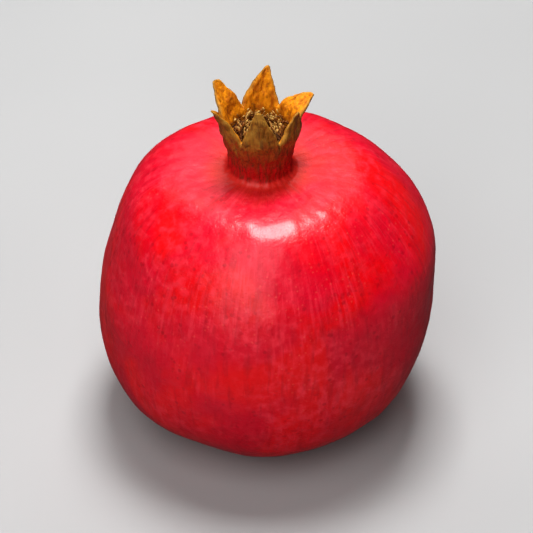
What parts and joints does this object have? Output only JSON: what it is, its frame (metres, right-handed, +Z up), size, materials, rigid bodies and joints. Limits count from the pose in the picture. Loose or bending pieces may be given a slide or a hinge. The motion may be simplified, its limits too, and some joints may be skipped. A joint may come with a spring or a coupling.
{
  "type": "pomegranate",
  "caption": "Whole fresh pomegranate standing on its base: a round, slightly ridged leathery body with flat shoulders and an open crown of pointed sepals around dried stamens.",
  "frame": {"origin": "on the resting plane, under the middle of the fruit's body", "axes": "+Z up from the base towards the crown, -Y the front, +X to the right of someone who faces the front"},
  "size_m": [0.0954, 0.095, 0.1098],
  "materials": {
    "rind": "waxy red rind with coral patches and fine darker speckles, turning olive-brown and dry on the sepals",
    "stamens": "dry, matt, straw brown",
    "style": "dry, matt, brown",
    "stem": "grey-brown bark with a paler cut end"
  },
  "bodies": {
    "root": {"fruit": "rind", "stamens": "stamens", "style": "style", "stem": "stem"}
  },
  "joints": []
}
